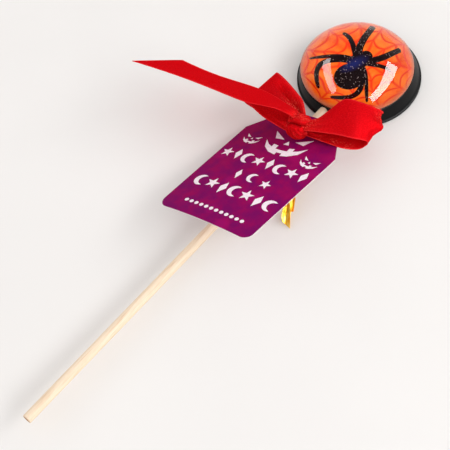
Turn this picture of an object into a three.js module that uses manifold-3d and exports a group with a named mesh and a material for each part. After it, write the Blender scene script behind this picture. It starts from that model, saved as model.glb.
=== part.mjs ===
// Hard-candy lollipop lying on its back, in millimetres, +Z up.
// The origin is the centre of the flat underside of the candy, and the stick runs along -Y.
import * as THREE from "three";
import { mergeVertices } from "three/addons/utils/BufferGeometryUtils.js";
import Module from "manifold-3d";

const wasm = await Module();
wasm.setup();

// Room left between two pieces that touch.
const gap = 0.3;

// Opaque candy base: a shallow tapering disc with a small lip round its foot.
const baseRadius = 25.4;
const baseHeight = 6.6;
const baseTopRadius = 23.1;
const lipHeight = 1.2;
// The upper candy was poured a little off the middle of the base.
const pourShift = new THREE.Vector2(-0.4, -0.75);

// Printed sheet between the two candies.
const pictureRadius = 22.2;
const pictureThickness = 0.25;

// Clear candy dome, a spherical cap on a narrow straight edge.
const domeRadius = 23.0;
const domeHeight = 13.0;
const domeEdge = 0.5;

// Round wooden stick, a little off the centre line and rising towards its free end.
const stickRadius = 1.9;
const stickOffset = 0.7;
const stickHeight = 4.1;
const stickRise = THREE.MathUtils.degToRad(1.5);
const stickInside = 20;
const stickEndY = -193.5;
const stickChamfer = 0.25;

// Card tag that lies over the stick, bent along its length.
const tagWidth = 46;
const tagLength = 70;
const tagThickness = 0.45;
const tagSag = 2.2;
const tagChamfer = { side: 17.2, top: 10.8 };
const tagCornerRadius = 3.5;
const tagHole = { radius: 3.4, fromTop: 10.6 };
const tagCentre = new THREE.Vector3(0.6, -64.7, 13.2);
const tagPitch = THREE.MathUtils.degToRad(-11);
const tagRoll = THREE.MathUtils.degToRad(18);

// Satin ribbon tied in a bow through the hole of the tag and round the stick.
const ribbonWidth = 19;
const ribbonThickness = 0.5;
const knotCentre = new THREE.Vector3(0, -40.9, 15.2);
const knotHalf = new THREE.Vector3(4.4, 5.4, 4.1);
const collarWidth = 7;
const collarThickness = 0.9;
const neckRadius = 2.1;

// Foil twist tie with a wire along its middle.
const tieWidth = 4;
const tieThickness = 0.35;
const tieWire = 0.45;
const tieY = -52;

const radians = THREE.MathUtils.degToRad;

function toSolid(geometry) {
  const bare = (geometry.index ? geometry.toNonIndexed() : geometry).clone();
  bare.deleteAttribute("normal");
  bare.deleteAttribute("uv");
  const merged = mergeVertices(bare, 1e-4);
  const solid = new wasm.Manifold(
    new wasm.Mesh({
      numProp: 3,
      vertProperties: merged.attributes.position.array,
      triVerts: new Uint32Array(merged.index.array),
    }),
  );
  return solid;
}

function toGeometry(solid) {
  const mesh = solid.getMesh();
  const geometry = new THREE.BufferGeometry();
  geometry.setAttribute("position", new THREE.BufferAttribute(mesh.vertProperties, 3));
  geometry.setIndex(new THREE.BufferAttribute(mesh.triVerts, 1));
  return geometry;
}

function joinAll(geometries) {
  return geometries.map(toSolid).reduce((whole, piece) => whole.add(piece));
}

function node(name, geometry, color, roughness = 0.5, extra = {}) {
  const flat = geometry.index ? geometry.toNonIndexed() : geometry;
  flat.deleteAttribute("uv");
  flat.computeVertexNormals();
  const mesh = new THREE.Mesh(flat, new THREE.MeshStandardMaterial({ color, roughness, ...extra }));
  mesh.name = name;
  return mesh;
}

// A solid of revolution about +Z from a profile of [radius, height] pairs.
function turned(profile, segments = 96) {
  const points = profile.map(([r, z]) => new THREE.Vector2(r, z));
  return new THREE.LatheGeometry(points, segments).rotateX(Math.PI / 2);
}

// A value at v from -1 (near edge) through 0 (middle) to 1 (far edge).
function across(v, [near, middle, far]) {
  return middle + ((far - near) / 2) * v + ((far + near) / 2 - middle) * v * v;
}

// A closed band whose middle surface is point(s, v), with s along it and v across it.
function band(point, alongSteps, acrossSteps, halfThickness) {
  const middle = [];
  const normals = [];
  const step = 1e-3;
  for (let i = 0; i <= alongSteps; i += 1) {
    for (let j = 0; j <= acrossSteps; j += 1) {
      const s = i / alongSteps;
      const v = (2 * j) / acrossSteps - 1;
      const alongS = point(Math.min(s + step, 1), v).sub(point(Math.max(s - step, 0), v));
      const alongV = point(s, Math.min(v + step, 1)).sub(point(s, Math.max(v - step, -1)));
      middle.push(point(s, v));
      normals.push(alongS.cross(alongV).normalize());
    }
  }
  const count = middle.length;
  const row = acrossSteps + 1;
  const positions = [];
  for (const side of [1, -1]) {
    middle.forEach((p, k) => {
      const v = (2 * (k % row)) / acrossSteps - 1;
      const q = p.clone().addScaledVector(normals[k], side * halfThickness(v, side));
      positions.push(q.x, q.y, q.z);
    });
  }
  const index = [];
  const quad = (a, b, c, d) => index.push(a, b, c, a, c, d);
  for (let i = 0; i < alongSteps; i += 1) {
    for (let j = 0; j < acrossSteps; j += 1) {
      const a = i * row + j;
      quad(a, a + row, a + row + 1, a + 1);
      quad(count + a, count + a + 1, count + a + row + 1, count + a + row);
    }
    const near = i * row;
    const far = near + acrossSteps;
    quad(near, count + near, count + near + row, near + row);
    quad(far, far + row, count + far + row, count + far);
  }
  for (let j = 0; j < acrossSteps; j += 1) {
    const end = alongSteps * row + j;
    quad(j, j + 1, count + j + 1, count + j);
    quad(end, count + end, count + end + 1, end + 1);
  }
  const geometry = new THREE.BufferGeometry();
  geometry.setAttribute("position", new THREE.Float32BufferAttribute(positions, 3));
  geometry.setIndex(index);
  return geometry;
}

// Height of the stick's axis above the table at a given y.
const stickAxisZ = (y) => stickHeight + (-baseRadius - y) * Math.tan(stickRise);

// Turns a solid built along +Z into one along the stick, starting at a given y.
function alongStick(geometry, startY) {
  const axis = new THREE.Vector3(0, -Math.cos(stickRise), Math.sin(stickRise));
  const turn = new THREE.Quaternion().setFromUnitVectors(new THREE.Vector3(0, 0, 1), axis);
  return geometry
    .applyQuaternion(turn)
    .translate(stickOffset, startY, stickAxisZ(startY));
}

// Candy

function candyBase() {
  const slope = (baseRadius - 0.4 - baseTopRadius) / (baseHeight - lipHeight);
  const solid = turned([
    [0, 0],
    [baseRadius - 0.4, 0],
    [baseRadius, 0.4],
    [baseRadius, lipHeight - 0.3],
    [baseRadius - 0.5, lipHeight],
    [baseTopRadius + slope * 2.6, baseHeight - 2.9],
    [baseTopRadius, baseHeight - 0.5],
    [baseTopRadius - 0.4, baseHeight],
    [0, baseHeight],
  ]);
  const position = solid.attributes.position;
  for (let i = 0; i < position.count; i += 1) {
    const lift = THREE.MathUtils.clamp((position.getZ(i) - lipHeight) / (baseHeight - lipHeight), 0, 1);
    position.setX(i, position.getX(i) + lift * pourShift.x);
    position.setY(i, position.getY(i) + lift * pourShift.y);
  }
  const boreStart = -baseRadius + stickInside + gap;
  const bore = new THREE.CylinderGeometry(stickRadius + gap, stickRadius + gap, 40, 32);
  bore.rotateX(Math.PI / 2).translate(0, 0, 20);
  return toGeometry(toSolid(solid).subtract(toSolid(alongStick(bore, boreStart))));
}

function pictureSheet() {
  const bottom = baseHeight + gap;
  return turned([
    [0, bottom],
    [pictureRadius, bottom],
    [pictureRadius, bottom + pictureThickness],
    [0, bottom + pictureThickness],
  ]).translate(pourShift.x, pourShift.y, 0);
}

function candyDome() {
  const bottom = baseHeight + pictureThickness + 2 * gap;
  const rise = domeHeight - domeEdge;
  const sphere = (domeRadius ** 2 + rise ** 2) / (2 * rise);
  const reach = Math.asin(domeRadius / sphere);
  const steps = 22;
  const profile = [
    [0, bottom],
    [domeRadius - 0.3, bottom],
    [domeRadius, bottom + 0.3],
  ];
  for (let i = 0; i <= steps; i += 1) {
    const angle = reach * (1 - i / steps);
    const z = bottom + domeHeight - sphere + sphere * Math.cos(angle);
    profile.push([i === steps ? 0 : sphere * Math.sin(angle), z]);
  }
  return turned(profile).translate(pourShift.x, pourShift.y, 0);
}

// Stick

function stick() {
  const startY = -baseRadius + stickInside;
  const length = (startY - stickEndY) / Math.cos(stickRise);
  const solid = turned(
    [
      [0, 0],
      [stickRadius - stickChamfer, 0],
      [stickRadius, stickChamfer],
      [stickRadius, length - stickChamfer],
      [stickRadius - stickChamfer, length],
      [0, length],
    ],
    36,
  );
  return alongStick(solid, startY);
}

// Tag

function tagOutline() {
  const w = tagWidth / 2;
  const l = tagLength / 2;
  const r = tagCornerRadius;
  const shape = new THREE.Shape();
  shape.moveTo(-w + r, -l);
  shape.lineTo(w - r, -l);
  shape.absarc(w - r, -l + r, r, -Math.PI / 2, 0, false);
  shape.lineTo(w, l - tagChamfer.side);
  shape.lineTo(w - tagChamfer.top, l);
  shape.lineTo(-w + tagChamfer.top, l);
  shape.lineTo(-w, l - tagChamfer.side);
  shape.lineTo(-w, -l + r);
  shape.absarc(-w + r, -l + r, r, Math.PI, 1.5 * Math.PI, false);
  const hole = new THREE.Path();
  hole.absarc(0, l - tagHole.fromTop, tagHole.radius, 0, 2 * Math.PI, true);
  shape.holes.push(hole);
  return new THREE.ExtrudeGeometry(shape, { depth: 12, bevelEnabled: false, curveSegments: 8 })
    .translate(0, 0, -6);
}

// The card's cross-section, bent up in the middle, drawn out along its length.
function bentSlab() {
  const half = tagWidth / 2 + 1;
  const steps = 14;
  const bend = (u) => tagSag * (0.5 - (2 * u / tagWidth) ** 2);
  const shape = new THREE.Shape();
  for (let i = 0; i <= steps; i += 1) {
    const u = -half + (2 * half * i) / steps;
    if (i === 0) shape.moveTo(u, bend(u) - tagThickness / 2);
    else shape.lineTo(u, bend(u) - tagThickness / 2);
  }
  for (let i = steps; i >= 0; i -= 1) {
    const u = -half + (2 * half * i) / steps;
    shape.lineTo(u, bend(u) + tagThickness / 2);
  }
  const length = tagLength + 4;
  return new THREE.ExtrudeGeometry(shape, { depth: length, bevelEnabled: false })
    .translate(0, 0, -length / 2)
    .rotateX(Math.PI / 2);
}

function tag() {
  const card = toSolid(bentSlab()).intersect(toSolid(tagOutline()));
  const pose = new THREE.Matrix4()
    .makeTranslation(tagCentre)
    .multiply(new THREE.Matrix4().makeRotationX(tagPitch))
    .multiply(new THREE.Matrix4().makeRotationY(-tagRoll));
  return toGeometry(card).applyMatrix4(pose);
}

// Ribbon

// A loop of ribbon: each thread leaves the knot at its own heading, turns at the fold and comes back below.
// Values in threes are for the near edge, the middle and the far edge of the ribbon.
const rightLoop = {
  root: [new THREE.Vector3(1.6, -44.3, 15), new THREE.Vector3(2.4, -37.8, 15.2)],
  heading: [17.5, 31, 45],
  reach: [28.2, 31.2, 28.6],
  foldZ: [15.4, 16.2, 14.8],
  arch: [3.1, 4.2, 4.2],
  opening: [3.7, 4.7, 5],
};
const leftLoop = {
  root: [new THREE.Vector3(-1.4, -44.9, 13), new THREE.Vector3(-0.6, -35.4, 15)],
  heading: [178, 166, 156],
  reach: [22.4, 22.6, 22.7],
  foldZ: [12.2, 12.8, 13.8],
  arch: [-0.6, 0.4, 1.6],
  opening: [2.8, 3.2, 3.2],
};

function loopPoint(loop, s, v) {
  const turn = 2 * Math.PI * s;
  const out = (1 - Math.cos(turn)) / 2;
  const heading = radians(across(v, loop.heading));
  const distance = across(v, loop.reach) * out;
  const start = loop.root[0].clone().lerp(loop.root[1], (v + 1) / 2);
  const slope = (across(v, loop.foldZ) - start.z) * out;
  const arch = across(v, loop.arch) * Math.sin(Math.PI * out);
  const opening = across(v, loop.opening) * Math.sin(turn) * (0.55 + 0.45 * out);
  return new THREE.Vector3(
    start.x + Math.cos(heading) * distance,
    start.y + Math.sin(heading) * distance,
    start.z + slope + arch + opening,
  );
}

// The free end: it spreads from the knot to its full width, near edge up, and is cut at a slant.
const tail = {
  start: new THREE.Vector3(-1.4, -41.1, 17),
  heading: 192.2,
  lengthNear: 66.3,
  lengthFar: 52.5,
  height: 21.8,
  tilt: 36.5,
  spread: 16,
};

function tailPoint(s, v) {
  const length = THREE.MathUtils.lerp(tail.lengthNear, tail.lengthFar, (v + 1) / 2) * s;
  const opened = THREE.MathUtils.smoothstep(length, 0, tail.spread);
  const heading = radians(tail.heading);
  const half = THREE.MathUtils.lerp(0.24, 1, opened) * (ribbonWidth / 2);
  const tilt = radians(tail.tilt) * opened;
  const lift = THREE.MathUtils.lerp(tail.start.z, tail.height, opened);
  return new THREE.Vector3(
    tail.start.x + Math.cos(heading) * length - v * half * Math.cos(tilt) * Math.sin(heading) * -1,
    tail.start.y + Math.sin(heading) * length + v * half * Math.cos(tilt) * Math.cos(heading) * -1,
    lift - v * half * Math.sin(tilt),
  );
}

function ribbonBow() {
  const even = () => ribbonThickness / 2;
  const knot = new THREE.SphereGeometry(1, 28, 18).rotateX(Math.PI / 2);
  knot.scale(knotHalf.x, knotHalf.y, knotHalf.z).translate(...knotCentre);
  const inner = stickRadius + gap;
  const collar = turned(
    [
      [inner, 0],
      [inner + collarThickness, 0],
      [inner + collarThickness, collarWidth],
      [inner, collarWidth],
      [inner, 0],
    ],
    32,
  );
  const collarMiddle = knotCentre.y;
  const neckBottom = stickAxisZ(collarMiddle) + inner + collarThickness / 2;
  const neck = new THREE.CylinderGeometry(neckRadius, neckRadius, knotCentre.z - neckBottom, 24);
  neck.rotateX(Math.PI / 2);
  neck.translate(stickOffset, collarMiddle, (knotCentre.z + neckBottom) / 2);
  return toGeometry(
    joinAll([
      knot,
      alongStick(collar, collarMiddle + collarWidth / 2),
      neck,
      band((s, v) => loopPoint(rightLoop, s, v), 36, 8, even),
      band((s, v) => loopPoint(leftLoop, s, v), 32, 8, even),
      band(tailPoint, 24, 6, even),
    ]),
  );
}

// Twist tie

// The tie's two ends run down from the stick, under the tag, to the table beside it.
const tieEnds = [
  { start: [3.2, -51.6, 5.6], bend: [10.5, -60.5, 5.6], tip: [20.2, -73.9, 1.3], slant: 0.09 },
  { start: [2.7, -51.6, 6.6], bend: [11.5, -59, 7.4], tip: [19.8, -68.9, 3.2], slant: -0.05 },
];

function tieEndPoint(end, s, v) {
  const [a, b, c] = [end.start, end.bend, end.tip].map((p) => new THREE.Vector3(...p));
  const at = s * (1 + end.slant * v);
  const curve = new THREE.QuadraticBezierCurve3(a, b, c);
  const along = curve.getTangent(THREE.MathUtils.clamp(at, 0, 1));
  const swing = THREE.MathUtils.smoothstep(s, 0, 0.4);
  const side = new THREE.Vector3(-along.y, along.x, 0)
    .normalize()
    .lerp(new THREE.Vector3(0, 1, 0), 1 - swing)
    .normalize();
  const pitch = 0.35 * (1 - Math.abs(v));
  return curve
    .getPoint(at)
    .addScaledVector(side, (v * tieWidth) / 2)
    .add(new THREE.Vector3(0, 0, -pitch));
}

function twistTie() {
  const half = (v) => tieThickness / 2 + (Math.abs(v) < 0.2 ? tieWire / 2 : 0);
  const inner = stickRadius + gap;
  const ring = turned(
    [
      [inner, 0],
      [inner + tieThickness * 1.6, 0],
      [inner + tieThickness * 1.6, tieWidth],
      [inner, tieWidth],
      [inner, 0],
    ],
    32,
  );
  const ends = tieEnds.map((end) => band((s, v) => tieEndPoint(end, s, v), 10, 8, half));
  return toGeometry(joinAll([alongStick(ring, tieY + tieWidth / 2), ...ends]));
}

const lollipop = new THREE.Group();
lollipop.name = "lollipop";
lollipop.add(
  node("candy_base", candyBase(), 0x17171a, 0.35),
  node("picture_sheet", pictureSheet(), 0xf0742a, 0.6),
  node("candy_dome", candyDome(), 0xf6b58a, 0.05),
  node("stick", stick(), 0xf3dcc0, 0.7),
  node("tag", tag(), 0x96125f, 0.6),
  node("ribbon_bow", ribbonBow(), 0xc8101c, 0.45),
  node("twist_tie", twistTie(), 0xd99a2b, 0.3, { metalness: 0.8 }),
);

export default lollipop;
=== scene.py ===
import math

import bmesh
import bpy
from mathutils import Matrix, Vector, noise


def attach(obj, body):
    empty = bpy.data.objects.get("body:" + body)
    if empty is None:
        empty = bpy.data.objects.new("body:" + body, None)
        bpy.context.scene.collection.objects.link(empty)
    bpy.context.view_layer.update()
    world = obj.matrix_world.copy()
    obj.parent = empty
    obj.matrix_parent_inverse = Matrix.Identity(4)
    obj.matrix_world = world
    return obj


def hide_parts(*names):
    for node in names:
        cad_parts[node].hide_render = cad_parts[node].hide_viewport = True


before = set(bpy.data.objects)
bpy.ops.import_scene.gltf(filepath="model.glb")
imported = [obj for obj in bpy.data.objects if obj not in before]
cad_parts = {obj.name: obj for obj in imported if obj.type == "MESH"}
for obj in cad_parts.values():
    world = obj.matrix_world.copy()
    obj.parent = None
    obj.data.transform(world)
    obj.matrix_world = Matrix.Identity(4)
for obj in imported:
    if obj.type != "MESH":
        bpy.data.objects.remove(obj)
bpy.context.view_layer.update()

# Picture lollipop with a card tag, a satin bow and a foil tie. Sizes are in millimetres, angles in degrees.
scene = bpy.context.scene
millimetre = 0.001
print("frame loaded")


# Small helpers

def linear(hexColour):  # sRGB hex to the linear colour that a socket takes
    channels = [int(hexColour[i:i + 2], 16) / 255 for i in (1, 3, 5)]
    return (*(c / 12.92 if c <= 0.04045 else ((c + 0.055) / 1.055) ** 2.4 for c in channels), 1.0)


def patternScale(size):  # on Object coordinates, makes a pattern's features this many millimetres wide
    return 1 / (size * millimetre)


# Fills a node's sockets. A node stands for its first output, an output is linked, the rest are values.
def fill(material, node, inputs):
    for socket, value in inputs.items():
        if isinstance(value, bpy.types.Node):
            value = value.outputs[0]
        if isinstance(value, bpy.types.NodeSocket):
            material.node_tree.links.new(value, node.inputs[socket])
        else:
            node.inputs[socket].default_value = value


def addNode(material, kind, inputs=None, stops=(), **settings):
    node = material.node_tree.nodes.new("ShaderNode" + kind)
    for key, value in settings.items():
        setattr(node, key, value)
    fill(material, node, inputs or {})
    for i, (position, colour) in enumerate(stops):  # a colour ramp starts with two elements
        element = node.color_ramp.elements[i] if i < 2 else node.color_ramp.elements.new(position)
        element.position = position
        element.color = linear(colour)
    return node


def newMaterial(name, inputs):
    material = bpy.data.materials.new(name)
    material.use_nodes = True
    shader = material.node_tree.nodes["Principled BSDF"]
    fill(material, shader, inputs)
    return material, shader


def newObject(name, bm, materials, smooth=True):  # turns a bmesh in millimetres into an object
    bmesh.ops.scale(bm, vec=(millimetre,) * 3, verts=bm.verts)
    for face in bm.faces:
        face.smooth = smooth
    mesh = bpy.data.meshes.new(name)
    bm.to_mesh(mesh)
    bm.free()
    for material in materials:
        mesh.materials.append(material)
    made = bpy.data.objects.new(name, mesh)
    scene.collection.objects.link(made)
    return made


def finishPiece(name, bm, materials, replaced=(), smooth=True):
    piece = newObject(name, bm, materials, smooth)
    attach(piece, "root")
    if replaced:
        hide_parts(*replaced)
    return piece


def thicken(piece, name, thickness, offset=0):
    wall = piece.modifiers.new(name, "SOLIDIFY")
    wall.thickness = thickness * millimetre
    wall.offset = offset


# A solid of revolution about Z; the profile's (radius, height) pairs start and end on the axis.
def spinProfile(bm, profile, steps):
    verts = [bm.verts.new((r, 0, z)) for r, z in profile]
    edges = [bm.edges.new(pair) for pair in zip(verts, verts[1:])]
    bmesh.ops.spin(bm, geom=verts + edges, cent=(0, 0, 0), axis=(0, 0, 1), dvec=(0, 0, 0),
                   angle=math.tau, steps=steps, use_merge=True, use_duplicate=False)
    bmesh.ops.remove_doubles(bm, verts=bm.verts, dist=0.002)
    bmesh.ops.recalc_face_normals(bm, faces=bm.faces)


def tube(bm, radius, length, sides):  # open at both ends, standing on the origin
    verts = bmesh.ops.create_cone(bm, cap_ends=False, segments=sides, radius1=radius, radius2=radius,
                                  depth=length)["verts"]
    bmesh.ops.translate(bm, vec=(0, 0, length / 2), verts=verts)
    return verts


def alongPath(points, t):  # Catmull-Rom through evenly timed points, t from 0 to 1
    place = min(max(t, 0), 1) * (len(points) - 1)
    i = min(int(place), len(points) - 2)
    u = place - i
    p0, p1, p2, p3 = (Vector(points[min(max(k, 0), len(points) - 1)]) for k in (i - 1, i, i + 1, i + 2))
    return 0.5 * (2 * p1 + (p2 - p0) * u + (2 * p0 - 5 * p1 + 4 * p2 - p3) * u * u
                  + (3 * p1 - p0 - 3 * p2 + p3) * u ** 3)


def smoothStep(a, b, x):  # 0 at a and 1 at b, whichever is larger
    t = min(max((x - a) / (b - a), 0), 1)
    return t * t * (3 - 2 * t)


def onCircle(angle, radius=1.0):
    return radius * math.cos(math.radians(angle)), radius * math.sin(math.radians(angle))


def vertsOf(made):  # the vertices in what an extrusion returns
    return [g for g in made["geom"] if isinstance(g, bmesh.types.BMVert)]


# Camera, floor and lights

studio = {
    "cameraPlace": (183.62, -244.89, 396.38), "cameraTurn": (30.866, 5.392, 40.221),
    "lens": 96, "sensor": 36, "nearest": 10,
    "floorSize": 6000,
    "sky": 0.8, "skyColour": (1.0, 0.98, 0.972, 1),
    "walls": 0.5, "ceiling": 0.1, "wallsToCeiling": (0.25, 0.75),  # the room that gloss mirrors
    "lampDistance": 1.5, "lampAim": (0, -0.04, 0),  # the lamps are in metres and watts
    "lamps": {
        "key": {"azimuth": 19, "elevation": 36, "size": (2.3, 0.5), "power": 14.1},
        "fill": {"azimuth": -138, "elevation": 38, "size": (1.9, 0.7), "power": 2.1},
        "keyGlint": {"azimuth": 17, "elevation": 37, "size": (2.1, 0.44), "power": 42, "glint": True},
        "fillGlint": {"azimuth": -138, "elevation": 41, "size": (1.7, 0.34), "power": 14, "glint": True},
    },
}

cameraData = bpy.data.cameras.new("camera")
cameraData.lens = studio["lens"]
cameraData.sensor_width = studio["sensor"]
cameraData.clip_start = studio["nearest"] * millimetre
camera = bpy.data.objects.new("camera", cameraData)
camera.location = Vector(studio["cameraPlace"]) * millimetre
camera.rotation_euler = [math.radians(a) for a in studio["cameraTurn"]]
scene.collection.objects.link(camera)
scene.camera = camera
scene.view_settings.view_transform = "Standard"

world = bpy.data.worlds.new("studio")
world.use_nodes = True
sky = world.node_tree.nodes["Background"]
fill(world, sky, {"Color": studio["skyColour"], "Strength": studio["sky"]})
# What gloss mirrors: a dark ceiling over pale walls.
direction = addNode(world, "TexCoord").outputs["Generated"]
upward = addNode(world, "SeparateXYZ", {"Vector": direction}).outputs["Z"]
wallsEnd, ceilingStart = studio["wallsToCeiling"]
seen = addNode(world, "MapRange", {"Value": upward, "From Min": wallsEnd, "From Max": ceilingStart,
                                   "To Min": studio["walls"], "To Max": studio["ceiling"]})
room = addNode(world, "Background", {"Color": studio["skyColour"], "Strength": seen})
mirrored = addNode(world, "LightPath").outputs["Is Glossy Ray"]
both = addNode(world, "MixShader", {0: mirrored, 1: sky, 2: room})
fill(world, world.node_tree.nodes["World Output"], {"Surface": both})
scene.world = world


# A lamp aimed at the object. A glint lights nothing and only shows as a highlight on gloss.
def softbox(name, azimuth, elevation, size, power, glint=False):
    lamp = bpy.data.lights.new(name, "AREA")
    lamp.shape = "RECTANGLE"
    lamp.size, lamp.size_y = size
    lamp.energy = power
    box = bpy.data.objects.new(name, lamp)
    a, e = math.radians(azimuth), math.radians(elevation)
    away = Vector((math.cos(a) * math.cos(e), math.sin(a) * math.cos(e), math.sin(e)))
    box.location = away * studio["lampDistance"] + Vector(studio["lampAim"])
    box.rotation_euler = away.to_track_quat("Z", "Y").to_euler()
    box.visible_glossy = glint
    box.visible_diffuse = not glint
    scene.collection.objects.link(box)


for lampName, settings in studio["lamps"].items():
    softbox(lampName + "Light", **settings)

# Photo paper: matt, almost white, with the faintest mottle of its coating.
paper, paperShader = newMaterial("photoPaper", {"Roughness": 0.9, "Specular IOR Level": 0.2})
place = addNode(paper, "TexCoord").outputs["Object"]
mottle = addNode(paper, "TexNoise", {"Vector": place, "Scale": patternScale(83.3), "Detail": 2.0})
white = addNode(paper, "ValToRGB", {"Fac": mottle}, stops=[(0.3, "#EBE9E7"), (0.7, "#EEECEA")])
fill(paper, paperShader, {"Base Color": white})

bm = bmesh.new()
bmesh.ops.create_grid(bm, x_segments=1, y_segments=1, size=studio["floorSize"] / 2)
floor = newObject("floor", bm, [paper])
print("camera, lights and floor")


# Candy base

base = {
    "radius": 25.4, "height": 6.6, "topRadius": 23.1, "steps": 144,
    # The lip at the foot: how far each point lies in from the radius, and its height.
    "lipHeight": 1.2, "lipInset": 0.4,
    "lip": [(0.7, 0), (0.4, 0.06), (0.12, 0.2), (0, 0.45), (0, 0.85), (0.12, 1.08), (0.42, 1.2), (0.62, 1.4)],
    # The tapering wall and its rounded shoulder: depths below the top, and insets from the top radius.
    "wallDepths": (3.8, 2.2), "wallStart": 0.2,
    "shoulder": [(-0.05, 0.55), (0.1, 0.15), (0.4, 0)],
    "pourShift": (-0.4, -0.75),  # the top, the picture and the dome sit a little off centre
}

# Boiled sugar dyed black: satin, with a skin that the mould left a little uneven.
blackCandy, blackShader = newMaterial("blackBoiledCandy", {"Specular IOR Level": 0.11})
place = addNode(blackCandy, "TexCoord").outputs["Object"]
cloud = addNode(blackCandy, "TexNoise", {"Vector": place, "Scale": patternScale(3.85), "Detail": 3.0})
tint = addNode(blackCandy, "ValToRGB", {"Fac": cloud}, stops=[(0.3, "#08080A"), (0.75, "#111112")])
skin = addNode(blackCandy, "TexNoise", {
    "Vector": place, "Scale": patternScale(1.11), "Detail": 2.0, "Roughness": 0.6})
gloss = addNode(blackCandy, "MapRange", {"Value": skin, "To Min": 0.28, "To Max": 0.42})
uneven = addNode(blackCandy, "Bump", {"Height": skin, "Strength": 0.12, "Distance": 0.0002})
fill(blackCandy, blackShader, {"Base Color": tint, "Roughness": gloss, "Normal": uneven})

wallHeight = base["height"] - base["lipHeight"]
slope = (base["radius"] - base["lipInset"] - base["topRadius"]) / wallHeight
profile = [(0, 0)] + [(base["radius"] - inset, up) for inset, up in base["lip"]]
profile += [(base["topRadius"] + slope * (depth - base["wallStart"]), base["height"] - depth)
            for depth in base["wallDepths"]]
profile += [(base["topRadius"] - inset, base["height"] - depth) for inset, depth in base["shoulder"]]
profile += [(0, base["height"])]
bm = bmesh.new()
spinProfile(bm, profile, base["steps"])
for vert in bm.verts:
    lift = min(max((vert.co.z - base["lipHeight"]) / wallHeight, 0), 1)
    vert.co.x += lift * base["pourShift"][0]
    vert.co.y += lift * base["pourShift"][1]
finishPiece("candyBase", bm, [blackCandy], ["candy_base"])
print("candy base")


# Picture under the dome

picture = {
    "centre": base["pourShift"], "top": 7.15, "margin": (19.8, 21.9),
    "webHub": (1.0, 1.5), "threads": 11, "ringStep": 4.7, "sag": 0.2, "shake": 4.2,
    "threadWidth": 0.9, "threadFade": (0.3, 1.9),  # full colour and none, in half widths
}

# Printed edible paper: orange with redder stains, and a red web whose threads sag between the spokes.
wafer, waferShader = newMaterial("printedWaferPaper", {"Roughness": 0.75, "Specular IOR Level": 0.0})
place = addNode(wafer, "TexCoord").outputs["Object"]
shake = addNode(wafer, "TexNoise", {"Vector": place, "Scale": patternScale(11.76), "Detail": 1.0})
shaken = addNode(wafer, "VectorMath", {
    0: shake.outputs["Color"], 1: (picture["shake"] * millimetre,) * 3, 2: place}, operation="MULTIPLY_ADD")
# Shaking moves the web by half the shake on average, which the hub's place makes up for.
hub = [(c + h + picture["shake"] / 2) * millimetre for c, h in zip(picture["centre"], picture["webHub"])]
toHub = addNode(wafer, "VectorMath", {0: shaken, 1: (*hub, 0)}, operation="SUBTRACT")
axes = addNode(wafer, "SeparateXYZ", {"Vector": toHub})
flat = addNode(wafer, "CombineXYZ", {"X": axes.outputs["X"], "Y": axes.outputs["Y"]})
radius = addNode(wafer, "VectorMath", {0: flat}, operation="LENGTH").outputs["Value"]
angle = addNode(wafer, "Math", {0: axes.outputs["Y"], 1: axes.outputs["X"]}, operation="ARCTAN2")
turns = addNode(wafer, "Math", {0: angle, 1: picture["threads"] / math.tau}, operation="MULTIPLY")
spoke = addNode(wafer, "Math", {0: turns, 1: 0.5}, operation="PINGPONG")  # 0 on a thread, 0.5 between
aside = addNode(wafer, "Math", {0: spoke, 1: radius}, operation="MULTIPLY")
core, edge = picture["threadFade"]
spokeHalf = picture["threadWidth"] * millimetre * picture["threads"] / math.tau / 2
spokeLine = addNode(wafer, "MapRange", {"Value": aside, "From Min": spokeHalf * core,
                                        "From Max": spokeHalf * edge, "To Min": 0.85, "To Max": 0.0})
slack = addNode(wafer, "Math", {0: spoke, 1: -2.0, 2: 1.0}, operation="MULTIPLY_ADD")
slack = addNode(wafer, "Math", {0: slack, 1: 2.0}, operation="POWER")
sagged = addNode(wafer, "Math", {0: slack, 1: -picture["sag"], 2: 1 + picture["sag"]},
                 operation="MULTIPLY_ADD")
ringRadius = addNode(wafer, "Math", {0: radius, 1: sagged}, operation="MULTIPLY")
rings = addNode(wafer, "Math", {0: ringRadius, 1: picture["ringStep"] * millimetre}, operation="DIVIDE")
toRing = addNode(wafer, "Math", {0: rings, 1: 0.5}, operation="PINGPONG")
ringHalf = picture["threadWidth"] / picture["ringStep"] / 2
ringLine = addNode(wafer, "MapRange", {"Value": toRing, "From Min": ringHalf * core,
                                       "From Max": ringHalf * edge, "To Min": 1.0, "To Max": 0.0})
web = addNode(wafer, "Math", {0: spokeLine, 1: ringLine}, operation="MAXIMUM", use_clamp=True)
stains = addNode(wafer, "TexNoise", {
    "Vector": place, "Scale": patternScale(7.69), "Detail": 4.0, "Roughness": 0.6})
ground = addNode(wafer, "ValToRGB", {"Fac": stains}, stops=[
    (0.32, "#E8481A"), (0.46, "#FA701C"), (0.68, "#FF8E30")])
webbed = addNode(wafer, "Mix", {0: web, 6: ground, 7: linear("#F03418")}, data_type="RGBA").outputs[2]
# The colour turns brownish towards the edge, where the two candies meet.
middle = tuple(c * millimetre for c in (*picture["centre"], picture["top"]))
outward = addNode(wafer, "VectorMath", {0: place, 1: middle}, operation="DISTANCE").outputs["Value"]
marginStart, marginEnd = picture["margin"]
margin = addNode(wafer, "MapRange", {"Value": outward, "From Min": marginStart * millimetre,
                                     "From Max": marginEnd * millimetre, "To Min": 0.0, "To Max": 0.7})
edged = addNode(wafer, "Mix", {0: margin, 6: webbed, 7: linear("#CC8460")}, data_type="RGBA").outputs[2]
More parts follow.
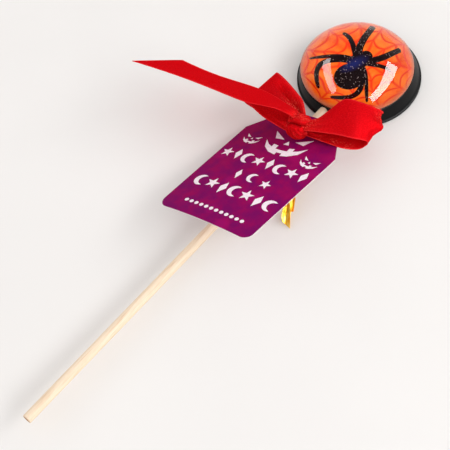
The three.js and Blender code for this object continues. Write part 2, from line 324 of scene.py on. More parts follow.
# Its fibres are too fine to show; these are slow waves, 4 mm wide.
waves = addNode(wafer, "TexNoise", {"Vector": place, "Scale": patternScale(4), "Detail": 1.0})
uneven = addNode(wafer, "Bump", {"Height": waves, "Strength": 0.1, "Distance": 0.0001})
fill(wafer, waferShader, {"Base Color": edged, "Normal": uneven})
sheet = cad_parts["picture_sheet"]
sheet.data.materials.clear()
sheet.data.materials.append(wafer)

spider = {
    # Each part is x, y, half the width and half the length.
    "abdomen": (2.1, -5.9, 5.2, 5.6), "waist": (0.0, 0.3, 3.1, 3.8), "head": (0.5, 4.1, 2.0, 1.8),
    "lean": -7,
    "legs": [  # one side; each point is x, y and half the width
        [(1.6, 2.4, 1.2), (3.4, 4.8, 1.2), (4.9, 8.2, 1.2), (5.8, 11.6, 1.1), (6.7, 15.0, 1.0)],
        [(1.8, 1.6, 1.0), (4.4, 3.2, 0.85), (7.0, 4.7, 0.75), (9.2, 5.5, 0.7), (11.6, 5.5, 0.5)],
        [(1.8, 0.2, 1.0), (5.0, -1.3, 0.8), (8.2, -3.8, 0.7), (11.2, -6.6, 0.65), (14.6, -9.8, 0.4)],
        [(1.6, -0.8, 1.0), (4.9, -3.0, 0.9), (7.8, -6.0, 1.0), (9.0, -9.2, 1.05), (8.2, -12.2, 1.0),
         (5.8, -15.0, 0.9), (2.8, -17.4, 0.65)],
    ],
    "thickness": 0.04, "clearance": 0.01, "coat": 0.005,  # each part lies a coat above the last
    "legSteps": 22, "legTip": 0.12, "blobSides": 40,
    "speckSpacing": 0.5, "speckShare": 0.34,
    "sheen": {"place": (-0.9, -1.8), "half": (6.2, 2.6), "turn": 68},
}

# Black ink with glitter: almost black, a blue sheen on the back and pale specks about 0.3 mm wide.
spiderInk, inkShader = newMaterial("glitterInk", {"Roughness": 0.5, "Specular IOR Level": 0.0})
place = addNode(spiderInk, "TexCoord").outputs["Object"]
flatPlace = addNode(spiderInk, "VectorMath", {0: place, 1: (1.0, 1.0, 0.0)}, operation="MULTIPLY")
grains = addNode(spiderInk, "TexVoronoi", {
    "Vector": flatPlace, "Scale": patternScale(spider["speckSpacing"]), "Randomness": 1.0})
chance = addNode(spiderInk, "SeparateColor", {"Color": grains.outputs["Color"]}).outputs["Red"]
near = addNode(spiderInk, "MapRange", {
    "Value": grains.outputs["Distance"], "From Min": 0.14, "From Max": 0.3, "To Min": 0.75, "To Max": 0.0})
picked = addNode(spiderInk, "Math", {0: chance, 1: 1 - spider["speckShare"]}, operation="GREATER_THAN")
speck = addNode(spiderInk, "Math", {0: near, 1: picked}, operation="MULTIPLY")
sheen = spider["sheen"]
sheenPlace = addNode(spiderInk, "Mapping", {
    "Vector": place, "Location": tuple(c * millimetre for c in (*sheen["place"], 0)),
    "Rotation": (0, 0, math.radians(sheen["turn"])),
    "Scale": (sheen["half"][0] * millimetre, sheen["half"][1] * millimetre, 1.0)}, vector_type="TEXTURE")
sheenFar = addNode(spiderInk, "VectorMath", {0: sheenPlace}, operation="LENGTH").outputs["Value"]
blue = addNode(spiderInk, "MapRange", {
    "Value": sheenFar, "From Min": 0.2, "From Max": 1.0, "To Min": 0.62, "To Max": 0.0})
back = addNode(spiderInk, "Mix", {0: blue, 6: linear("#160A0E"), 7: linear("#1C2C7C")},
               data_type="RGBA").outputs[2]
speckled = addNode(spiderInk, "Mix", {0: speck, 6: back, 7: linear("#E8DADC")}, data_type="RGBA").outputs[2]
fill(spiderInk, inkShader, {"Base Color": speckled})


def inkBlob(bm, height, x, y, halfWidth, halfLength):
    made = bmesh.ops.create_circle(bm, cap_ends=True, segments=spider["blobSides"], radius=1)
    bmesh.ops.scale(bm, vec=(halfWidth, halfLength, 1), verts=made["verts"])
    bmesh.ops.translate(bm, vec=(x, y, height), verts=made["verts"])


def inkLeg(bm, height, points):  # a flat leg that follows the points, round at both ends
    made = bmesh.ops.create_grid(bm, x_segments=spider["legSteps"], y_segments=1, size=1)["verts"]
    for vert in made:
        t, side = (vert.co.x + 1) / 2, vert.co.y
        here = alongPath(points, t)
        ahead = alongPath(points, min(t + 0.02, 1)) - alongPath(points, max(t - 0.02, 0))
        across = Vector((-ahead.y, ahead.x, 0)).normalized()
        end = min(1, 4.5 * math.sqrt(max(t * (1 - t), 0)) + spider["legTip"])
        vert.co = Vector((here.x, here.y, height)) + across * side * here.z * end


bm = bmesh.new()
for k, part in enumerate(("abdomen", "waist", "head")):
    inkBlob(bm, (9 + k) * spider["coat"], *spider[part])
for k, leg in enumerate(spider["legs"]):
    inkLeg(bm, 2 * k * spider["coat"], leg)
    inkLeg(bm, (2 * k + 1) * spider["coat"], [(-x, y, w) for x, y, w in leg])
lean = Matrix.Rotation(math.radians(spider["lean"]), 3, "Z")
bmesh.ops.rotate(bm, cent=(0, 0, 0), matrix=lean, verts=bm.verts)
made = bmesh.ops.extrude_face_region(bm, geom=bm.faces[:])
bmesh.ops.translate(bm, vec=(0, 0, spider["thickness"]), verts=vertsOf(made))
bmesh.ops.recalc_face_normals(bm, faces=bm.faces)
bmesh.ops.translate(bm, vec=(*picture["centre"], picture["top"] + spider["clearance"]), verts=bm.verts)
finishPiece("printedSpider", bm, [spiderInk], smooth=False)
print("picture")


# Clear dome

dome = {
    "radius": 23.0, "top": 20.45, "bottom": 6.66, "edgeTop": 7.95, "arcSteps": 44, "steps": 160,
    "edge": [(0.25, 0), (0.05, 0.15), (0, 0.5)],  # in from the radius and up from the bottom
}

# Clear boiled sugar, glossy as glass, with slow waves where it cooled and a faint amber tint.
clearCandy, clearShader = newMaterial("clearBoiledCandy", {
    "Base Color": linear("#FFF3E8"), "Roughness": 0.03, "IOR": 1.49, "Transmission Weight": 1.0})
place = addNode(clearCandy, "TexCoord").outputs["Object"]
waves = addNode(clearCandy, "TexNoise", {"Vector": place, "Scale": patternScale(9.52), "Detail": 0.0})
uneven = addNode(clearCandy, "Bump", {"Height": waves, "Strength": 0.35, "Distance": 0.0008})
fill(clearCandy, clearShader, {"Normal": uneven})

rise = dome["top"] - dome["edgeTop"]
sphere = (dome["radius"] ** 2 + rise ** 2) / (2 * rise)  # the radius of the sphere that the dome is cut from
reach = math.asin(dome["radius"] / sphere)
profile = [(0, dome["bottom"])]
profile += [(dome["radius"] - inset, dome["bottom"] + up) for inset, up in dome["edge"]]
for i in range(dome["arcSteps"]):
    a = reach * (1 - i / dome["arcSteps"])
    profile.append((sphere * math.sin(a), dome["top"] - sphere + sphere * math.cos(a)))
profile.append((0, dome["top"]))
bm = bmesh.new()
spinProfile(bm, profile, dome["steps"])
bmesh.ops.translate(bm, vec=(*base["pourShift"], 0), verts=bm.verts)
finishPiece("candyDome", bm, [clearCandy], ["candy_dome"])
print("dome")


# Stick

stick = {
    "radius": 1.9, "sides": 48, "bevel": 0.28, "offset": 0.7, "startY": -5.4, "endY": -193.5,
    "height": 4.1, "rise": 1.5,  # the axis's height at the candy's edge, and its climb from there
}

# Birch, turned round and left bare: pale, with fine grain along it and darker pores. The grain is 0.67 mm
# wide, coarser than real birch, which would be too fine to show.
birch, birchShader = newMaterial("birch", {"Roughness": 0.62})
place = addNode(birch, "TexCoord").outputs["Object"]
stretched = addNode(birch, "Mapping", {"Vector": place, "Scale": (1.0, 0.045, 1.0)})
grain = addNode(birch, "TexNoise", {
    "Vector": stretched, "Scale": patternScale(0.667), "Detail": 4.0, "Roughness": 0.65})
wood = addNode(birch, "ValToRGB", {"Fac": grain}, stops=[
    (0.3, "#E4C4A2"), (0.5, "#F1DABD"), (0.72, "#F6E2CA")])
uneven = addNode(birch, "Bump", {"Height": grain, "Strength": 0.25, "Distance": 0.0001})
fill(birch, birchShader, {"Base Color": wood, "Normal": uneven})

# The sawn end: open pores make it darker than the side.
endGrain, endShader = newMaterial("birchEndGrain", {"Roughness": 0.9})
place = addNode(endGrain, "TexCoord").outputs["Object"]
pores = addNode(endGrain, "TexNoise", {"Vector": place, "Scale": patternScale(0.417), "Detail": 3.0})
sawn = addNode(endGrain, "ValToRGB", {"Fac": pores}, stops=[(0.35, "#A87C5A"), (0.65, "#D2A985")])
fill(endGrain, endShader, {"Base Color": sawn})


def stickAxis(y):
    climb = math.tan(math.radians(stick["rise"]))
    return Vector((stick["offset"], y, stick["height"] + (-base["radius"] - y) * climb))


# Lays what was built along +Z on the stick's axis, from startY towards the free end.
def ontoStick(bm, verts, startY):
    rise = math.radians(stick["rise"])
    turn = Vector((0, 0, 1)).rotation_difference(Vector((0, -math.cos(rise), math.sin(rise)))).to_matrix()
    bmesh.ops.rotate(bm, cent=(0, 0, 0), matrix=turn, verts=verts)
    bmesh.ops.translate(bm, vec=stickAxis(startY), verts=verts)


bm = bmesh.new()
length = (stick["startY"] - stick["endY"]) / math.cos(math.radians(stick["rise"]))
bmesh.ops.create_cone(bm, cap_ends=True, segments=stick["sides"], radius1=stick["radius"],
                      radius2=stick["radius"], depth=length)
rims = [e for e in bm.edges if abs(e.verts[0].co.z - e.verts[1].co.z) < 1e-5 and e.verts[0].co.xy.length > 1]
bmesh.ops.bevel(bm, geom=rims, offset=stick["bevel"], offset_type="OFFSET", affect="EDGES",
                segments=3, profile=0.5, material=-1)
bmesh.ops.translate(bm, vec=(0, 0, length / 2), verts=bm.verts)
ontoStick(bm, bm.verts, stick["startY"])
stickPiece = finishPiece("stick", bm, [birch, endGrain], ["stick"])
for face in stickPiece.data.polygons:  # the two ends are the only faces with more than four corners
    face.use_smooth = len(face.vertices) == 4
    face.material_index = 0 if face.use_smooth else 1
print("stick")


# Tag

tag = {
    "width": 47.0, "length": 70.0, "thickness": 0.3, "sag": 1.2, "edgeDrop": 1.1, "strips": 24,
    "chamferTop": 10.8, "chamferSide": (15.8, 17.6),  # a pair is for the left and the right
    "corner": (4.5, 3.6), "cornerSteps": 8,
    "taper": 1.3, "taperFrom": -4,  # the lower left is cut in this much, from this height down
    "centre": (1.1, -64.7, 13.2), "pitch": -11, "roll": 18,
    "holeRadius": 3.4, "holeFromTop": 10.6, "holeSides": 32,
    "blotch": 6.27, "round": 10.44,  # how far apart the print's soft patches are
}
tagPose = (Matrix.Translation(tag["centre"]) @ Matrix.Rotation(math.radians(tag["pitch"]), 4, "X")
           @ Matrix.Rotation(math.radians(-tag["roll"]), 4, "Y"))


def tagBend(x):
    return tag["sag"] * (1 - (2 * x / tag["width"]) ** 2) - tag["edgeDrop"]


# Coated card, printed magenta over violet in soft patches. One unit of its map is the tag's width.
printedCard, cardShader = newMaterial("printedCard", {"Roughness": 0.5, "Specular IOR Level": 0.02})
place = addNode(printedCard, "TexCoord").outputs["UV"]
blotches = addNode(printedCard, "TexNoise", {
    "Vector": place, "Scale": tag["width"] / tag["blotch"], "Detail": 3.0, "Roughness": 0.55})
upwards = addNode(printedCard, "SeparateXYZ", {"Vector": place}).outputs["Y"]
lift = addNode(printedCard, "Math", {0: upwards, 1: 0.16, 2: blotches}, operation="MULTIPLY_ADD")
tones = addNode(printedCard, "ValToRGB", {"Fac": lift}, stops=[
    (0.4, "#7A0A5C"), (0.54, "#88085A"), (0.64, "#920856"), (0.8, "#9A0A58")])
rounds = addNode(printedCard, "TexVoronoi", {
    "Vector": place, "Scale": tag["width"] / tag["round"], "Randomness": 0.9})
inRound = addNode(printedCard, "MapRange", {
    "Value": rounds, "From Min": 0.2, "From Max": 0.36, "To Min": 0.45, "To Max": 0.0})
printed = addNode(printedCard, "Mix", {0: inRound, 6: tones, 7: linear("#B00C66")}, data_type="RGBA")
fill(printedCard, cardShader, {"Base Color": printed.outputs[2]})

# The card's cut edge and back: uncoated white board, its pulp drawn 0.56 mm wide so that it shows.
whiteBoard, boardShader = newMaterial("whiteBoard", {"Roughness": 0.8})
place = addNode(whiteBoard, "TexCoord").outputs["Object"]
pulp = addNode(whiteBoard, "TexNoise", {"Vector": place, "Scale": patternScale(0.556), "Detail": 3.0})
board = addNode(whiteBoard, "ValToRGB", {"Fac": pulp}, stops=[(0.3, "#D8C8D0"), (0.7, "#E6DADF")])
uneven = addNode(whiteBoard, "Bump", {"Height": pulp, "Strength": 0.15, "Distance": 0.0001})
fill(whiteBoard, boardShader, {"Base Color": board, "Normal": uneven})

# White ink, flat on the card, with the violet showing through a little where it is thin.
whiteInk, whiteShader = newMaterial("whiteInk", {"Roughness": 0.5})
place = addNode(whiteInk, "TexCoord").outputs["Object"]
cover = addNode(whiteInk, "TexNoise", {"Vector": place, "Scale": patternScale(1.11), "Detail": 2.0})
ink = addNode(whiteInk, "ValToRGB", {"Fac": cover}, stops=[(0.3, "#F0DDEA"), (0.6, "#FBF0F7")])
fill(whiteInk, whiteShader, {"Base Color": ink})

bm = bmesh.new()
halfW, halfL = tag["width"] / 2, tag["length"] / 2
outline = [(halfW, halfL - tag["chamferSide"][1]), (halfW - tag["chamferTop"], halfL),
           (-halfW + tag["chamferTop"], halfL), (-halfW, halfL - tag["chamferSide"][0])]
for side, corner, start in ((-1, tag["corner"][0], 180), (1, tag["corner"][1], 270)):
    for k in range(tag["cornerSteps"] + 1):
        x, y = onCircle(start + k * 90 / tag["cornerSteps"], corner)
        outline.append((side * (halfW - corner) + x, -halfL + corner + y))
holeY = halfL - tag["holeFromTop"]
holeRim = [(x, holeY + y) for x, y in (onCircle(360 * k / tag["holeSides"], tag["holeRadius"])
                                       for k in range(tag["holeSides"]))]
edges = []
for points in (outline, holeRim):
    verts = [bm.verts.new((x, y, 0)) for x, y in points]
    edges += [bm.edges.new(pair) for pair in zip(verts, verts[1:] + verts[:1])]
bmesh.ops.triangle_fill(bm, use_beauty=True, use_dissolve=False, edges=edges, normal=(0, 0, 1))


def cutAt(bm, x):  # a straight cut through everything, so that it can bend there
    bmesh.ops.bisect_plane(bm, geom=bm.verts[:] + bm.edges[:] + bm.faces[:], dist=1e-5,
                           plane_co=(x, 0, 0), plane_no=(1, 0, 0))


for k in range(1, tag["strips"]):
    cutAt(bm, -halfW + k * tag["width"] / tag["strips"])
uvLayer = bm.loops.layers.uv.new("flat")
for face in bm.faces:
    for loop in face.loops:
        loop[uvLayer].uv = (loop.vert.co.x / tag["width"] + 0.5, loop.vert.co.y / tag["width"] + 0.5)
made = bmesh.ops.extrude_face_region(bm, geom=bm.faces[:])
bmesh.ops.translate(bm, vec=(0, 0, tag["thickness"]), verts=vertsOf(made))
bmesh.ops.translate(bm, vec=(0, 0, -tag["thickness"] / 2), verts=bm.verts)
bmesh.ops.recalc_face_normals(bm, faces=bm.faces)
for face in bm.faces:
    face.material_index = 0 if face.normal.z > 0.5 else 1
for vert in bm.verts:
    vert.co.z += tagBend(vert.co.x)
    down = smoothStep(tag["taperFrom"], -halfL, vert.co.y)
    vert.co.x += tag["taper"] * down * max(-vert.co.x / halfW, 0)
bmesh.ops.transform(bm, matrix=tagPose, verts=bm.verts)
finishPiece("tagCard", bm, [printedCard, whiteBoard], ["tag"], smooth=False)

# White motifs on the tag, in the tag's own plane: x and y from its middle.
prints = {
    "faces": [(-15.0, 12.9, 0.42, 0), (1.0, 15.4, 1.0, 4), (16.2, 10.4, 0.42, -4)],  # x, y, size and turn
    "rows": [
        {"y": 2.4, "from": -18.6, "to": 19.6, "count": 8, "size": 2.9},
        {"y": -7.4, "from": -4.2, "to": 9.6, "count": 3, "size": 2.5},
        {"y": -16.4, "from": -15.8, "to": 19.0, "count": 7, "size": 3.1},
    ],
    "dots": {"y": -28.3, "from": -12.5, "to": 15.5, "count": 12, "size": 0.85},
    "wander": 0.4, "tilt": 8,  # how far a motif in a row stands high or low, and leans
    "lift": 0.03, "thickness": 0.025, "strip": 1.5,
}
leftEye = [(-9.0, 6.6), (-6.6, 2.2), (-2.6, 2.6)]
rightEye = [(9.0, 6.4), (2.8, 2.6), (6.8, 2.0)]
nose = [(-1.2, -0.2), (0.0, 2.2), (1.3, -0.1)]
grin = [(-9.6, 0.4), (-7.0, -2.0), (-4.9, -3.0), (-4.9, -1.2), (-2.6, -1.6), (-2.6, -3.6), (0.2, -3.8),
        (2.8, -3.5), (2.8, -1.6), (5.0, -1.1), (5.0, -2.8), (7.2, -1.7), (10.0, 0.8), (8.0, -3.6),
        (4.6, -6.2), (1.6, -7.0), (1.6, -5.4), (-0.8, -5.5), (-0.8, -7.0), (-4.4, -6.2), (-7.6, -3.8)]
star = [onCircle(90 + 36 * k, 0.42 if k % 2 else 1) for k in range(10)]
moon = [onCircle(a) for a in range(60, 301, 20)]
moon += [(0.45 + x, y) for x, y in (onCircle(a, 0.78) for a in range(260, 99, -20))]
kite = [(0, 1.1), (0.5, 0.1), (0, -1.1), (-0.5, 0.1)]
dot = [onCircle(a) for a in range(0, 360, 24)]


def flatShape(bm, points, x, y, size, turn=0):  # a filled outline, cut so that it bends with the card
    c, s = onCircle(turn)
    own = bmesh.new()
    own.faces.new([own.verts.new((x + size * (px * c - py * s), y + size * (px * s + py * c), 0))
                   for px, py in points])
    bmesh.ops.triangulate(own, faces=own.faces[:])
    lowest, highest = min(v.co.x for v in own.verts), max(v.co.x for v in own.verts)
    cut = math.ceil(lowest / prints["strip"]) * prints["strip"]
    while cut < highest:
        cutAt(own, cut)
        cut += prints["strip"]
    keep = bpy.data.meshes.new("shape")
    own.to_mesh(keep)
    own.free()
    bm.from_mesh(keep)
    bpy.data.meshes.remove(keep)


def placeInRow(row, k):
    return row["from"] + (row["to"] - row["from"]) * k / (row["count"] - 1)


bm = bmesh.new()
for x, y, size, turn in prints["faces"]:
    for shape in (leftEye, rightEye, nose, grin):
        flatShape(bm, shape, x, y, size, turn)
for i, row in enumerate(prints["rows"]):
    for k in range(row["count"]):
        shape = (star, kite, moon)[(k + i) % 3]
        y = row["y"] + prints["wander"] * math.sin(k * 2.1)
        turn = prints["tilt"] * math.sin(k * 1.7 + i)
        flatShape(bm, shape, placeInRow(row, k), y, row["size"], turn)
dots = prints["dots"]
for k in range(dots["count"]):
    flatShape(bm, dot, placeInRow(dots, k), dots["y"], dots["size"])
for vert in bm.verts:
    vert.co.z = tagBend(vert.co.x) + tag["thickness"] / 2 + prints["lift"]
bmesh.ops.transform(bm, matrix=tagPose, verts=bm.verts)
printPiece = finishPiece("tagPrint", bm, [whiteInk], smooth=False)
thicken(printPiece, "ink", prints["thickness"], offset=-1)
print("tag")


# Satin ribbon

# Each loop goes from the knot over its top to the fold and back below; near and far are its two edges.
# Pleats are the gathers at the knot, and crown is how far the middle of a band stands off. The right
# loop is pushed out at its fold, and the left one has a valley inside its far edge.
ribbon = {
    "width": 19.0, "thickness": 0.22,
    # the next pair sets the painted highlight along the edges
    "edgeHighlight": (0.8, 0.5),  # how far in from the edge its gloss starts and is full
    "right": {
        "grid": (130, 40), "length": 60, "crown": 0.6, "foldPush": 3.3,
        "pleats": {"depth": 0.7, "reach": 6.5, "count": 3.4, "phase": 0.7},
        "near": [(4.6, -43.6, 17.2), (8.4, -42.7, 18.0), (13.5, -41.2, 19.3), (19.4, -38.9, 20.0),
                 (24.6, -36.6, 19.6), (27.8, -34.0, 18.0), (28.6, -32.4, 15.0), (27.6, -34.1, 13.1),
                 (25.7, -36.5, 12.9), (21.9, -39.5, 14.0), (16.8, -41.7, 15.2), (11.7, -42.8, 14.7),
                 (6.6, -43.7, 14.0)],
        "far": [(4.0, -39.0, 16.8), (7.2, -35.9, 17.4), (9.4, -31.2, 19.4), (12.3, -25.4, 22.4),
                (17.6, -22.4, 21.6), (22.2, -19.6, 18.8), (24.4, -17.2, 15.2), (23.0, -18.8, 12.6),
                (20.6, -21.2, 12.1), (16.6, -24.8, 12.1), (12.4, -29.4, 12.5), (8.0, -34.5, 13.2),
                (4.4, -38.2, 14.0)],
    },
    "left": {
        "grid": (110, 40), "length": 52, "crown": 0.8, "valley": 2.6, "edgeLift": 0.3,
        "pleats": {"depth": 0.75, "reach": 8, "count": 3.0, "phase": 2.2},
        "near": [(4.2, -45.2, 14.6), (-1.0, -45.9, 14.1), (-7.4, -46.0, 13.7), (-12.9, -45.8, 13.5),
                 (-18.9, -44.8, 13.6), (-22.4, -44.3, 13.4), (-23.8, -44.0, 12.4), (-22.0, -43.8, 11.4),
                 (-18.0, -43.6, 11.2), (-13.0, -43.6, 11.3), (-7.5, -43.6, 11.9), (-3.4, -43.4, 12.8),
                 (1.0, -43.0, 13.8)],
        "far": [(1.9, -36.9, 16.8), (-2.8, -32.6, 17.0), (-6.2, -31.0, 16.8), (-11.4, -29.1, 16.5),
                (-16.2, -27.5, 16.0), (-20.0, -26.4, 15.2), (-21.6, -26.3, 13.9), (-20.0, -27.2, 12.4),
                (-16.0, -28.6, 12.0), (-11.0, -30.4, 12.2), (-6.2, -32.8, 12.8), (-2.2, -35.4, 13.6),
                (1.6, -38.0, 14.4)],
    },
    "tail": {
        "grid": (100, 28), "length": 67, "curl": 0.6, "endBow": (0.225, 0.54, 0.45),
        "pleats": {"depth": 0.4, "reach": 9, "count": 3.2, "phase": 0.4},
        "near": [(1.2, -41.9, 18.0), (-1.8, -43.1, 20.8), (-5.2, -45.0, 23.6), (-10.4, -48.2, 26.0),
                 (-16.8, -51.4, 26.9), (-28.4, -54.3, 27.0), (-41.0, -57.2, 27.1), (-54.0, -60.2, 27.2),
                 (-64.6, -62.6, 27.3)],
        "far": [(1.4, -38.8, 17.6), (-2.0, -38.3, 18.4), (-7.0, -38.1, 18.5), (-13.0, -38.2, 18.1),
                (-20.6, -39.0, 17.7), (-29.0, -40.2, 17.2), (-38.0, -41.9, 17.0), (-47.0, -43.6, 17.0),
                (-54.7, -45.1, 17.0)],
    },
    # Under the tag: the turn round the stick, and the gathered neck that comes up through the hole.
    "collar": {"radius": 2.55, "length": 7, "startY": -37.4, "sides": 40, "ridges": 9, "ridgeDepth": 0.05},
    "neck": {"radius": 1.9, "y": -40.9, "aboveAxis": 2.3, "top": 14.0, "sides": 36, "ridges": 7,
             "ridgeDepth": 0.08},
}

# Satin ribbon: floating threads give it a soft gloss along its length, and light comes through the cloth.
# Its map is in millimetres; the threads are 0.12 mm apart and the slubs about half a millimetre.
satin, satinShader = newMaterial("redSatin", {
    "Roughness": 0.42, "Metallic": 0.2, "Specular IOR Level": 0.0, "Specular Tint": linear("#FF1A14"),
    "Subsurface Weight": 0.3, "Subsurface Scale": 0.0012, "Subsurface Radius": (1.0, 0.06, 0.05)})
place = addNode(satin, "TexCoord").outputs["UV"]
wave = addNode(satin, "TexWave", {"Vector": place, "Scale": 2.6, "Distortion": 1.2, "Detail": 2.0},
               wave_type="BANDS", bands_direction="X", wave_profile="SIN")
threads = wave.outputs["Fac"]
slubs = addNode(satin, "TexNoise", {"Vector": place, "Scale": 1.9, "Detail": 2.0, "Roughness": 0.7})
tone = addNode(satin, "Math", {0: threads, 1: 0.15, 2: slubs}, operation="MULTIPLY_ADD")
cloth = addNode(satin, "ValToRGB", {"Fac": tone}, stops=[
    (0.36, "#B8060E"), (0.58, "#CC0A13"), (0.8, "#E0161F")])
# A painted highlight along both edges of the ribbon, where the edges catch the light.
across = addNode(satin, "SeparateXYZ", {"Vector": place}).outputs["Y"]
fromMiddle = addNode(satin, "Math", {0: across}, operation="ABSOLUTE")
edgeStart, edgeFull = (ribbon["width"] / 2 - inset for inset in ribbon["edgeHighlight"])
edgeHighlight = addNode(satin, "MapRange", {
    "Value": fromMiddle, "From Min": edgeStart, "From Max": edgeFull, "To Min": 0.0, "To Max": 0.55})
woven = addNode(satin, "Mix", {0: edgeHighlight, 6: cloth, 7: linear("#EE2A30")}, data_type="RGBA").outputs[2]
# Painted glints where single floats would catch the light, mostly in the gathers: bright points,
# two thirds of a millimetre apart.
glintShare = addNode(satin, "Attribute", attribute_name="paintedGlint").outputs["Fac"]
floats = addNode(satin, "TexNoise", {"Vector": place, "Scale": 1.5, "Detail": 1.0, "Roughness": 0.5})
points = addNode(satin, "MapRange", {
    "Value": floats, "From Min": 0.5, "From Max": 0.74, "To Min": 0.0, "To Max": 0.9})
glitter = addNode(satin, "Math", {0: points, 1: glintShare}, operation="MULTIPLY")
lit = addNode(satin, "Mix", {0: glitter, 6: woven, 7: linear("#FF6A58")}, data_type="RGBA").outputs[2]
relief = addNode(satin, "Math", {0: slubs, 1: 2.0, 2: threads}, operation="MULTIPLY_ADD")
uneven = addNode(satin, "Bump", {"Height": relief, "Strength": 0.2, "Distance": 0.0001})
fill(satin, satinShader, {"Base Color": lit, "Normal": uneven})


# A band of cloth between two edges; s runs along it from 0 to 1 and v across it from -1 to 1. shape(s, v)
# gives how far a point stands off the band and how it slides, and gathers(s, v) how much painted glint
# the satin puts there, which it reads as a vertex attribute.
def strip(bm, band, shape, gathers):
    paintedGlint = bm.verts.layers.float.get("paintedGlint") or bm.verts.layers.float.new("paintedGlint")
    uv = bm.loops.layers.uv.verify()
    steps, acrossSteps = band["grid"]
    made = bmesh.ops.create_grid(bm, x_segments=steps, y_segments=acrossSteps, size=1)["verts"]
    edgeLength = sum((Vector(a) - Vector(b)).length for a, b in zip(band["near"], band["near"][1:]))
    where = {vert: ((vert.co.x + 1) / 2, vert.co.y) for vert in made}

    def between(s, v):
        return alongPath(band["near"], s).lerp(alongPath(band["far"], s), (v + 1) / 2)

    for vert, (s, v) in where.items():
        ahead = between(min(s + 0.01, 1), v) - between(max(s - 0.01, 0), v)
        normal = ahead.cross(between(s, 1) - between(s, -1)).normalized()
        off, slide = shape(s, v)
        vert.co = between(s, v) + normal * off + slide
        vert[paintedGlint] = gathers(s, v)
    for face in {f for vert in made for f in vert.link_faces}:
        for loop in face.loops:
            s, v = where[loop.vert]
            loop[uv].uv = (s * edgeLength, v * ribbon["width"] / 2)


def bell(distance, width):
    return math.exp(-(distance / width) ** 2)


def pleats(distance, v, depth, reach, count, phase):  # gathers that fade out away from the knot
    return depth * bell(distance, reach) * math.cos(math.pi * count * v + phase)


# Where the right loop gets painted glints: near the knot, in patches on the lower layer's near edge, and at
# the fold.
def rightGlints(s, v):
    nearKnot = bell(s * ribbon["right"]["length"], 5.5)
    patches = smoothStep(-0.15, 0.3, noise.noise(Vector((s * 22, v * 2.5, 8.2))))
    lowerBorder = patches * smoothStep(0.66, 0.74, s) * smoothStep(-0.3, -0.75, v)
    fold = bell(s - 0.5, 0.05) * smoothStep(0.1, 0.5, v)
    return max(nearKnot, lowerBorder, 0.6 * fold)


def rightShape(s, v):
    band = ribbon["right"]
    fold = bell(s - 0.5, 0.07)
    crown = band["crown"] * (1 - v * v) * smoothStep(0.04, 0.2, s) * smoothStep(0.46, 0.34, s)
    off = pleats(min(s, 1 - s) * band["length"], v, **band["pleats"]) + crown
    push = band["foldPush"] * bell(v - 0.28, 0.2 if v > 0.28 else 0.55)  # most a little past the middle
    crinkle = (0.5 * noise.noise(Vector((s * 34, v * 2.6, 1.3)))
               + 0.9 * noise.noise(Vector((s * 46, v * 6.5, 2.1))) * smoothStep(0.1, 0.7, v)) * fold
    return off + crinkle, Vector((0.97, -0.1, 0)) * push * fold


# Where the left loop gets painted glints: a painted highlight burst beside the knot, near the knot, and on
# the lower layer.
def leftGlints(s, v):
    fromKnot = s * ribbon["left"]["length"]
    highlightBurst = 1.4 * bell(fromKnot - 6.0, 5.0) * bell(v - 0.42, 0.3)
    lower = smoothStep(0.66, 0.82, s) * smoothStep(0.2, -0.6, v)
    return max(highlightBurst, 0.6 * bell(fromKnot, 4), lower)


def leftShape(s, v):
    band = ribbon["left"]
    crown = band["crown"] * (1 - v * v) * smoothStep(0.04, 0.2, s) * smoothStep(0.48, 0.36, s)
    upper = smoothStep(0.0, 0.06, s) * smoothStep(0.4, 0.24, s)
    border = band["edgeLift"] * smoothStep(0.74, 1.0, v) - band["valley"] * bell(v - 0.64, 0.13)
    off = pleats(min(s, 1 - s) * band["length"], v, **band["pleats"]) + crown
    return off, Vector((0.1, 0.1, 1.0)) * border * upper


# Where the tail gets painted glints: near the knot.
def tailGlints(s, v):
    return bell(s * ribbon["tail"]["length"], 6)


def tailShape(s, v):
    band = ribbon["tail"]
    curl = band["curl"] * math.sin(s * 8 + 1.4 * v) * smoothStep(0.2, 0.5, s)
    endBow = Vector(band["endBow"]) * (1 - v * v) * smoothStep(0.8, 1.0, s)
    return pleats(s * band["length"], v, **band["pleats"]) + curl, endBow


bm = bmesh.new()
strip(bm, ribbon["right"], rightShape, rightGlints)
strip(bm, ribbon["left"], leftShape, leftGlints)
strip(bm, ribbon["tail"], tailShape, tailGlints)

